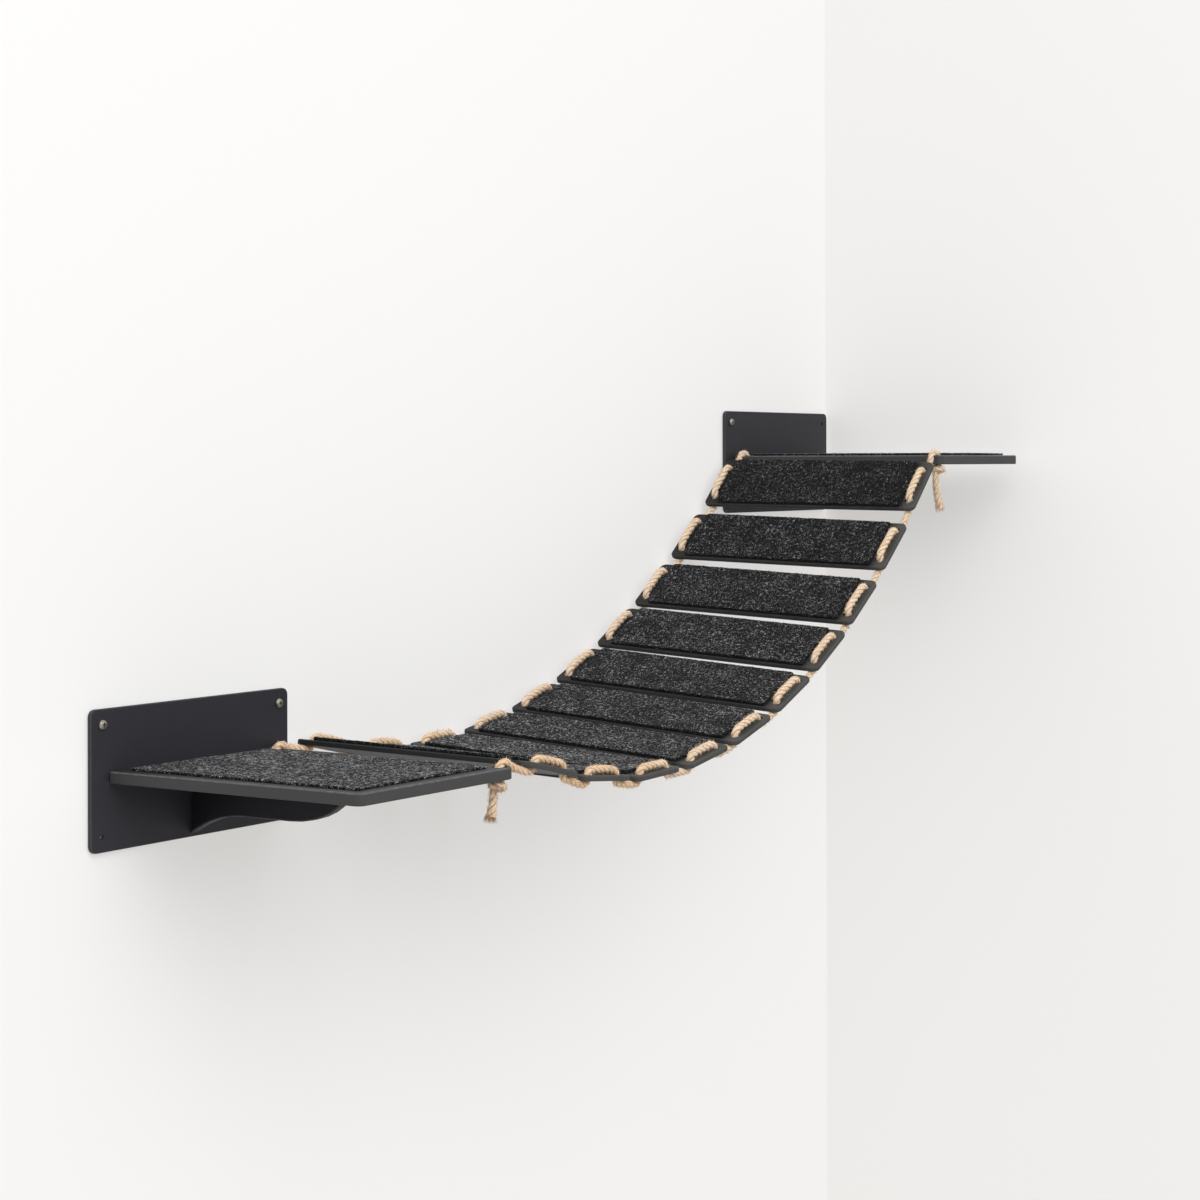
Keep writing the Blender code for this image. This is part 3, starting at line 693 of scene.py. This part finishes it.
def juteYarn(name, dirtAndShade=0.0, lit=rope["lit"], tan=rope["tan"]):
    # the mesh carries "lay": cosine and sine of the place around a strand, and the way along it
    g = newMaterial(name)
    lay = g.node("ShaderNodeAttribute", {"attribute_name": "lay"}, output="Vector")
    outward = g.node("ShaderNodeSeparateXYZ", None, {0: lay})
    sideways, along = outward.other(1), outward.other(2)
    around = outward.math("ARCTAN2", sideways, outward)
    phase = around * rope["yarnsPerStrand"] + along * (2 * math.pi / rope["yarnPitch"])
    yarns = phase.sine() * 0.5 + 0.5
    unrolled = g.node("ShaderNodeCombineXYZ", None,
                      {0: around * rope["unrolledRadius"], 1: along})
    threads = g.noise(g.stretched(unrolled, rope["threadScale"], rope["threadTurn"]),
                      1.0, 3.0, 0.6)
    place = g.coords()
    cloudy = g.noise(place, rope["cloudScale"], 3.0, 0.6)
    blotch = g.noise(place, rope["blotchScale"], 3.0, 0.6)
    # painted shade in the grooves, where a strand's side turns in towards the others
    creaseShade = 1 - outward.step(-0.05, 0.70)
    tone = (threads * 0.60 + cloudy * 0.30 + blotch * 0.40 + yarns * 0.10).step(0.54, 0.80)
    colour = g.mix(tone, tan, lit)
    dark = (1 - threads).step(0.54, 0.68) * 0.60
    stained = (blotch + 0.4 * (cloudy - 0.5)).step(0.56, 0.72) * 0.45
    colour = g.mix((creaseShade * 0.58).most(stained).most(dark), colour, rope["darkAndCreaseShade"])
    # brown patches: dirt, and on the knotted ends below the shelves painted shade as well
    if dirtAndShade:
        dirt = (cloudy * 0.5 + blotch * 0.5).step(0.62 - 0.35 * dirtAndShade, 0.82 - 0.35 * dirtAndShade)
        colour = g.mix(dirt * (0.35 + 0.5 * dirtAndShade), colour, rope["brown"])
    height = yarns * 0.25 + threads * 0.8 + blotch * 0.5
    return g.finish({"Base Color": colour, "Roughness": 0.86, "Specular IOR Level": 0.18,
                     "Sheen Weight": 0.25, "Sheen Roughness": 0.5,
                     "Sheen Tint": (0.95, 0.80, 0.62, 1.0),
                     "Normal": g.bump(height, rope["reliefDepth"], 0.85)})


juteClean = juteYarn("jute_rope_clean")
juteWalked = juteYarn("jute_rope_walked", 0.25, rope["walkedLit"], rope["walkedTan"])
juteFibres = fibreSet("jute", rope["hairTones"])
walkedFibres = fibreSet("walked", rope["walkedHairTones"])


def between(t, low, high, first, second):
    return (high - t) / (high - low) * first + (t - low) / (high - low) * second


def throughPoints(points, step):
    # a smooth line through all points; also says at which sample each point lies
    points = [np.array(p, float) for p in points]
    padded = [2 * points[0] - points[1]] + points + [2 * points[-1] - points[-2]]
    line, marks = [], []
    for a, b, c, d in zip(padded, padded[1:], padded[2:], padded[3:]):
        marks.append(len(line))
        knots = [0.0]
        for p, q in ((a, b), (b, c), (c, d)):
            knots.append(knots[-1] + max(np.linalg.norm(q - p), 1e-9) ** 0.5)
        t0, t1, t2, t3 = knots
        for t in np.linspace(t1, t2, max(2, round(np.linalg.norm(c - b) / step)), endpoint=False):
            a1 = between(t, t0, t1, a, b)
            a2 = between(t, t1, t2, b, c)
            a3 = between(t, t2, t3, c, d)
            b1 = between(t, t0, t2, a1, a2)
            b2 = between(t, t1, t3, a2, a3)
            line.append(between(t, t1, t2, b1, b2))
    marks.append(len(line))
    line.append(points[-1])
    return np.array(line), marks


def carried(line):
    # tangents, and normals that turn as little as they can from sample to sample
    ways = oneLong(np.gradient(line, axis=0))
    normals = np.zeros_like(line)
    normals[0] = oneLong(np.cross(ways[0], (0.0, 1.0, 0.0)))      # all lines start up or down
    for i in range(1, len(line)):
        normals[i] = oneLong(normals[i - 1] - ways[i] * (normals[i - 1] @ ways[i]))
    return ways, normals, np.cross(ways, normals)


def twisted(line, swell, seed, spread=1.0):
    # one laid rope: for each sample its frame, way along, thickness and strand spread
    ways, normals, across = carried(line)
    far = np.concatenate([[0.0], np.cumsum(np.linalg.norm(np.diff(line, axis=0), axis=1))])
    wobble = np.array([noise.noise(Vector((s * rope["swellingFrequency"], seed * 5.7, 0.3)))
                       for s in far])
    return {"line": line, "ways": ways, "normals": normals, "across": across, "far": far,
            "swell": swell * (1 + rope["swelling"] * wobble), "spread": spread * np.ones(len(line))}


def stretch(run, first, last):
    return {key: values[first:last + 1] for key, values in run.items()}


def strandFrame(run, strand):
    turn = 2 * math.pi * (run["far"] / rope["pitch"] + strand / 3)
    out = swung(run["normals"], run["across"], turn)
    side = swung(run["across"], -run["normals"], turn)
    middle = run["line"] + out * (rope["strandOffset"] * run["swell"] * run["spread"])[:, None]
    return middle, out, side


def ropeSkin(name, runs, material):
    points, lay, faces = [], [], []
    sides = rope["sides"]
    turns = np.arange(sides) * 2 * math.pi / sides
    for run in runs:
        for strand in range(3):
            middle, out, side = strandFrame(run, strand)
            size = rope["strandRadius"] * run["swell"]
            ring = swung(out[:, None], side[:, None], turns, rope["strandSquash"])
            skin = middle[:, None] + ring * size[:, None, None]
            lumps = np.array([noise.noise(Vector(p) * rope["lumpFrequency"])
                              for p in skin.reshape(-1, 3)])
            skin = skin + ring * rope["lumpHeight"] * lumps.reshape(len(middle), sides, 1)
            start = sum(len(p) for p in points)
            rings = len(middle)
            points.append(skin.reshape(-1, 3))
            lay.append(np.stack([
                np.tile(np.cos(turns), rings), np.tile(np.sin(turns), rings),
                np.repeat(run["far"], sides) + strand * rope["strandShift"]], axis=1))
            ids = start + np.arange(rings * sides).reshape(rings, sides)
            after = np.roll(ids, -1, axis=1)
            faces += np.stack([ids[:-1], after[:-1], after[1:], ids[1:]],
                              axis=-1).reshape(-1, 4).tolist()
            faces += [ids[0, ::-1].tolist(), ids[-1].tolist()]
    piece = joined(name, np.concatenate(points).tolist(), faces, [material])
    piece.data.set_sharp_from_angle(angle=math.radians(rope["sharpAngle"]))
    layer = piece.data.attributes.new("lay", "FLOAT_VECTOR", "POINT")
    layer.data.foreach_set("vector", np.concatenate(lay).astype(np.float32).ravel())
    return piece


def ropeFuzz(name, runs, seed, fibres, more=1.0):
    draw = np.random.default_rng(seed)
    roots, leads, bends, thick = [], [], [], []
    shortest, longest = rope["hairLength"]
    for run in runs:
        length = run["far"][-1] - run["far"][0]
        amount = int(length * 1000 * rope["hairsPerMillimetre"] * more)
        rows = draw.integers(0, len(run["line"]), amount)
        strands = draw.integers(0, 3, amount)
        turns = draw.normal(0, rope["hairSpread"], amount)
        frames = [strandFrame(run, s) for s in range(3)]
        middle, out, side = (np.array([frames[s][k][r] for s, r in zip(strands, rows)])
                             for k in range(3))
        ring = swung(out, side, turns)
        size = rope["strandRadius"] * run["swell"][rows] * rope["hairRoot"]
        forward = run["ways"][rows] * draw.choice((-1.0, 1.0), amount)[:, None]
        lead = oneLong(ring * draw.uniform(*rope["hairOutward"], amount)[:, None]
                       + forward * draw.uniform(*rope["hairForward"], amount)[:, None]
                       + draw.normal(0, rope["hairScatter"], (amount, 3)))
        share = draw.uniform(0, 1, amount) ** rope["hairShortness"]
        reach = shortest + share * (longest - shortest)
        roots.append(middle + ring * size[:, None])
        leads.append(lead * reach[:, None])
        bends.append(draw.normal(0, rope["hairCurl"], (amount, 3)) * reach[:, None])
        thick.append(draw.uniform(*rope["hairThickness"], amount))
    roots, leads, bends, thick = (np.concatenate(x) for x in (roots, leads, bends, thick))
    tones = draw.choice(3, len(roots), p=rope["hairShares"])
    return spikes(name, roots, leads, bends, thick, tones, fibres)


# Rope line at one slat, in the slat's own axes: under it, up the lower hole, over the felt side
# and down the upper hole
stitch = {
    "x": (-0.0315, -0.0246, -0.0225, -0.0208, -0.0168, -0.0080, 0.0),
    "z": (-0.0058, -0.0048, 0.0000, 0.0044, 0.0064, 0.0070, 0.0071),
    "tight": 0.86,                           # thickness under the slats, where it is pulled flat
    "tightReach": 0.020,                     # from the gap's middle
    "tightFade": 0.008,
}
# and at a shelf, from its edge towards the bridge and from its top: up the hole and over the edge
overEdge = {
    "x": (-0.0110, -0.0107, -0.0094, -0.0066, -0.0030, 0.0012, 0.0044),
    "z": (-0.0122, -0.0050, -0.0010, 0.0015, 0.0026, 0.0022, 0.0002),
    "entry": 0.0004,
}


def stitchPoints(place, side):
    half = list(zip(stitch["x"], stitch["z"]))
    shape = half + [(-x, z) for x, z in reversed(half[:-1])]
    return [place @ Vector((x, side * ropeReach, z)) for x, z in shape]


def shelfPoints(at, bridgeSide, side, place):
    edge = at + Vector((bridgeSide * bridge["shelfWidth"] / 2, slatMiddleY + side * ropeReach,
                        bridge["shelfTop"]))
    points = [edge + Vector((bridgeSide * x, 0, z)) for x, z in zip(overEdge["x"], overEdge["z"])]
    entry = Vector((-bridgeSide * (bridge["slatWidth"] / 2 + overEdge["entry"]), side * ropeReach,
                    -bridge["slatThickness"] / 2 - rope["radius"]))
    return points + [place @ entry]


def lacing(side):
    # all points of one rope, with the numbers of those at which it is parted into pieces
    points = shelfPoints(lowerAt, 1, side, places[0])
    cuts = []
    for index, place in enumerate(places):
        here = stitchPoints(place, side)
        if index > 0:
            points.append((points[-1] + here[0]) / 2)
        cuts.append(len(points) - 1)
        cuts.append(len(points) + len(stitch["x"]) - 1)
        points += here
    back = shelfPoints(upperAt, -1, side, places[-1])[::-1]
    cuts.append(len(points))
    return points + back, cuts


ropes = {}
for word, side in ropeSides:
    lacedPoints, cuts = lacing(side)
    line, marks = throughPoints(lacedPoints, rope["step"])
    cuts = [0] + [marks[c] for c in cuts] + [len(line) - 1]
    gaps = cuts[1::2]                        # samples in the middle of the gaps between the slats
    nearGap = np.abs(np.arange(len(line))[:, None] - gaps).min(axis=1) * rope["step"]
    tight = np.clip((stitch["tightReach"] - nearGap) / stitch["tightFade"], 0, 1)
    ropes[word] = {"run": twisted(line, 1 - (1 - stitch["tight"]) * tight, seed=side),
                   "cuts": cuts}

halves = [f"slat_{number:02d}_{half}" for number in range(1, slatCount + 1) for half in "ab"]
pieceNames = ["lower_shelf", *halves, "upper_shelf"]
for index, word in enumerate(pieceNames):
    runs = [stretch(r["run"], r["cuts"][index], r["cuts"][index + 1]) for r in ropes.values()]
    walked = index < rope["walkedPieces"]
    skin = ropeSkin("rope_" + word, runs, juteWalked if walked else juteClean)
    # a shelf's rope has no loose fibres beside the slat, which tilts past them
    bare = rope["bareSamples"]
    first, last = {"lower_shelf": (0, -1 - bare), "upper_shelf": (bare, -1)}.get(word, (0, -1))
    hairy = [stretch(r, first, len(r["line"]) + last) for r in runs]
    fuzz = ropeFuzz("rope_fuzz_" + word, hairy, rope["fuzzSeed"] + index,
                    walkedFibres if walked else juteFibres)
    for piece in (skin, fuzz):
        if word.endswith("shelf"):
            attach(piece, "wall_units")
        else:
            # the middle of the gap and the slat's hole are found but not used: the piece is left
            # where it lies, on no body
            slatIndex = (index - 1) // 2
            gapSide = -1 if word.endswith("a") else 1
            gapMiddle = np.mean([r["line"][0 if gapSide < 0 else -1] for r in runs], axis=0)
            hole = places[slatIndex] @ Vector((gapSide * ropeHoleX, 0, 0))
            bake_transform(piece)
    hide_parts("rope_front", "rope_rear")
print("ropes laced through", slatCount, "slats:",
      [round(float(r["run"]["far"][-1]), 3) for r in ropes.values()], "m from shelf to shelf")


# Stopper knots and frayed tails
knot = {
    # the rope's middle line below the hole, in millimetres: down, twice around and out below
    "path": ((0.0, 0.0, 2.0), (0.3, -0.4, -0.4), (1.6, -2.9, -2.6), (4.9, -2.4, -3.4),
             (5.3, 1.6, -3.8), (2.0, 5.0, -4.2), (-2.6, 4.7, -4.4), (-5.4, 1.0, -4.4),
             (-4.6, -3.4, -5.0), (-0.6, -5.0, -6.4), (3.0, -3.4, -7.6), (3.6, 0.8, -8.2),
             (2.4, 3.2, -8.6), (0.6, 3.6, -10.0), (0.2, 3.6, -12.2)),
    "thickness": 0.84,                       # pulled tight, over the rope's own
    "tailThickness": (0.98, 1.15),
    # each end: length and lean of its tail, turn of the knot, how soiled and how shaded it is (dirt
    # and painted shade), and its seed
    "lower_front": (0.018, -0.004, 0.6, 0.55, 61),
    "lower_rear": (0.021, -0.004, 2.2, 0.5, 62),
    "upper_front": (0.034, 0.010, 1.3, 0.2, 63),
    "upper_rear": (0.025, 0.005, 4.0, 0.4, 64),
    "fuzzSeed": 40,                          # added to the end's own
    "fuzzShare": 1.3,                        # over the laced rope's
    "unlaid": 0.35,                          # how far the strands part at the cut end
    "unlaidFrom": 0.7,                       # of the tail's length
    "unlaidOver": 0.3,
    "frayHairs": 260,
    "frayDepth": 0.002,
    "frayWidth": 0.85,
    "frayFan": 0.32,
    "frayScatter": 0.13,
    "frayCurl": 0.07,
    "frayLength": (0.0030, 0.0085),
    "frayThickness": (0.00016, 0.00034),
    "frayShares": (0.22, 0.42, 0.36),
    "frayTones": ((0.97, 0.80, 0.61), (0.67, 0.45, 0.28), (0.28, 0.165, 0.09)),
}
frayFibres = fibreSet("fray", knot["frayTones"])


def knottedEnd(where, at, bridgeSide, side):
    length, lean, knotTurn, dirtAndShade, seed = knot[where]
    draw = np.random.default_rng(seed)
    holeX = at.x + bridgeSide * (bridge["shelfWidth"] / 2 - bridge["shelfHoleEdge"])
    under = at.z + bridge["shelfTop"] - bridge["shelfThickness"]
    origin = np.array((holeX, slatMiddleY + side * ropeReach, under))
    spin = np.array(Matrix.Rotation(knotTurn, 3, "Z"))
    wound = np.array(knot["path"]) / 1000 @ spin.T
    tail = [wound[-1] + np.array((lean * part ** 2, 0.0, -length * part))
            for part in (0.3, 0.65, 1.0)]
    line, marks = throughPoints([*wound, *tail], rope["step"] * 0.8)
    line = line + origin
    tailFrom = marks[len(wound) - 1]
    share = np.clip((np.arange(len(line)) - tailFrom) / (len(line) - 1 - tailFrom), 0, 1)
    low, high = knot["tailThickness"]
    swell = np.where(share > 0, low + (high - low) * share ** 2, knot["thickness"])
    parted = np.clip((share - knot["unlaidFrom"]) / knot["unlaidOver"], 0, 1)
    spread = 1 + knot["unlaid"] * parted ** 2
    run = twisted(line, swell, seed, spread)
    # the darker fray fibres go on the ends with the most dirt and painted shade
    fibres = frayFibres if dirtAndShade > 0.3 else juteFibres
    skin = ropeSkin("knotted_end_" + where, [run], juteYarn("jute_end_" + where, dirtAndShade))
    fuzz = ropeFuzz("knotted_end_fuzz_" + where, [run], seed + knot["fuzzSeed"], fibres,
                    knot["fuzzShare"])
    # the cut end opens into loose fibres
    amount = knot["frayHairs"]
    end, way = line[-1], run["ways"][-1]
    wide = rope["radius"] * high * 1.1
    angle = draw.uniform(0, 2 * math.pi, amount)
    away = np.sqrt(draw.uniform(0, 1, amount)) * wide
    fan = swung(run["normals"][-1], run["across"][-1], angle)
    roots = end - way * knot["frayDepth"] + fan * away[:, None] * knot["frayWidth"]
    reach = draw.uniform(*knot["frayLength"], amount)
    leads = oneLong(way + fan * (away / wide * knot["frayFan"])[:, None]
                    + draw.normal(0, knot["frayScatter"], (amount, 3)))
    bends = draw.normal(0, knot["frayCurl"], (amount, 3)) * reach[:, None]
    brush = spikes("frayed_end_" + where, roots, leads * reach[:, None], bends,
                   draw.uniform(*knot["frayThickness"], amount),
                   draw.choice(3, amount, p=knot["frayShares"]), fibres)
    for piece in (skin, fuzz, brush):
        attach(piece, "wall_units")
    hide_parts("knot_" + where)
    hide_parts("tail_" + where)


for unitName, at, bridgeSide in units:
    for word, side in ropeSides:
        knottedEnd(f"{unitName}_{word}", at, bridgeSide, side)
print("knots tied and tails frayed")


# The room: two walls in a corner, and a floor below
room = {
    "sideWallX": 1.1215,
    "wallGap": 0.0008,
    "floorZ": -0.95,
    "reach": 6.0,
    "backWall": (0.935, 0.943, 0.957),
    # the side wall is painted darker than the back wall: painted shade, as the walls don't shade
    # each other
    "sideWall": (0.905, 0.905, 0.915),
    "floor": (0.86, 0.86, 0.855),
    "glow": (0.965, 0.948, 0.928),           # gives no light, but lifts the shadows on the walls
    "glowShare": 0.38,
    "cloudScale": 1.3,
    "rollerScale": 340.0,
    "rollerDepth": 0.0002,
}


def roomPaint(name, colour):
    # seen from the room alone: from behind, and for light, a wall isn't there
    g = newMaterial(name)
    place = g.coords()
    cloudy = g.noise(place, room["cloudScale"], 2.0)
    roller = g.noise(place, room["rollerScale"], 2.0)
    wall = g.node("ShaderNodeBsdfDiffuse", None,
                  {"Color": g.shaded(colour, 0.985 + 0.03 * cloudy),
                   "Normal": g.bump(roller, room["rollerDepth"], 0.3)})
    glow = g.node("ShaderNodeEmission", None, {"Color": room["glow"]})
    lifted = g.node("ShaderNodeMixShader", None, {0: room["glowShare"], 1: wall, 2: glow})
    clear = g.node("ShaderNodeBsdfTransparent")
    rays = g.node("ShaderNodeLightPath")
    seen = rays + rays.other("Is Glossy Ray") + rays.other("Is Transmission Ray")
    fromRoom = 1 - g.node("ShaderNodeNewGeometry", output="Backfacing")
    mixed = g.node("ShaderNodeMixShader", None, {0: seen * fromRoom, 1: clear, 2: lifted})
    g.node("ShaderNodeOutputMaterial", None, {"Surface": mixed})
    return g.owner


def panel(name, colour, corners):
    material = roomPaint(name + "_paint", colour)
    joined(name, corners, [(0, 1, 2, 3)], [material], smooth=False)


sideX, backY, far, down = room["sideWallX"], room["wallGap"], room["reach"], room["floorZ"]
panel("back_wall", room["backWall"], [(-far, backY, down), (sideX, backY, down),
                                      (sideX, backY, far), (-far, backY, far)])
panel("side_wall", room["sideWall"], [(sideX, backY, down), (sideX, -far, down),
                                      (sideX, -far, far), (sideX, backY, far)])
panel("floor", room["floor"], [(-far, -far, down), (sideX, -far, down),
                               (sideX, backY, down), (-far, backY, down)])

light = {
    "aim": (0.55, -0.10, -0.05),
    # each softbox: place, size, power and colour
    "key": ((-2.7, -2.8, 3.9), 3.4, 62.0, (0.88, 0.95, 1.0)),
    "fill": ((-1.0, -3.7, 2.7), 3.4, 72.0, (0.92, 0.965, 1.0)),
    "skyAbove": 0.85,                        # strength of the light from above
    "skyBelow": 0.63,
    "skyBlend": 0.8,                         # height at which the one passes into the other
    "skySide": 0.05,                         # how much more comes from the left than from ahead
    "skyColour": (1.0, 0.960, 0.915),
    "seenSky": (0.93, 0.93, 0.93),
}
for word in ("key", "fill"):
    lamp = bpy.data.lights.new(word + "_softbox", "AREA")
    lamp.shape = "SQUARE"
    lampPlace, lamp.size, lamp.energy, lamp.color = light[word]
    softbox = placed(word + "_softbox", lamp)
    softbox.location = lampPlace
    toAim = Vector(light["aim"]) - Vector(lampPlace)
    softbox.rotation_euler = toAim.to_track_quat("-Z", "Y").to_euler()

bpy.context.scene.world = bpy.data.worlds.new("studio")
studio = Graph(bpy.context.scene.world)
skyX = studio.node("ShaderNodeSeparateXYZ", None, {0: studio.coords("Generated")})
skyUp = skyX.other(2).step(-light["skyBlend"], light["skyBlend"])
skyLift = (light["skyAbove"] - light["skyBelow"]) * skyUp
skyStrength = light["skyBelow"] + skyLift - skyX * light["skySide"]
sky = studio.node("ShaderNodeBackground", None, {"Color": light["skyColour"],
                                                 "Strength": skyStrength})
seenSky = studio.node("ShaderNodeBackground", None, {"Color": light["seenSky"]})
skyRays = studio.node("ShaderNodeLightPath")
skyChoice = studio.node("ShaderNodeMixShader", None,
                        {0: skyRays + skyRays.other("Is Transmission Ray"), 1: sky, 2: seenSky})
studio.node("ShaderNodeOutputWorld", None, {"Surface": skyChoice})
print("room and lights set")


# The camera stands where the photo was taken
camera = {
    "place": (-1.5794, -1.4463, 0.2549),
    "heading": 56.723,                       # degrees from the wall's normal to the higher shelf
    "roll": -0.1275,
    "sensor": 36.0,
    "lens": 75.93,
    "shiftY": -0.1159,
    "clip": (0.02, 60.0),
}
lens = bpy.data.cameras.new("photo_camera")
lens.sensor_width = camera["sensor"]
lens.lens = camera["lens"]
lens.shift_y = camera["shiftY"]
lens.clip_start, lens.clip_end = camera["clip"]
viewer = placed("photo_camera", lens)
heading = Euler((math.pi / 2, 0, -math.radians(camera["heading"])))
viewer.matrix_world = (Matrix.Translation(camera["place"]) @ heading.to_matrix().to_4x4()
                       @ Matrix.Rotation(math.radians(camera["roll"]), 4, "Z"))
bpy.context.scene.camera = viewer
bpy.context.scene.view_settings.view_transform = "Standard"
print("camera placed")
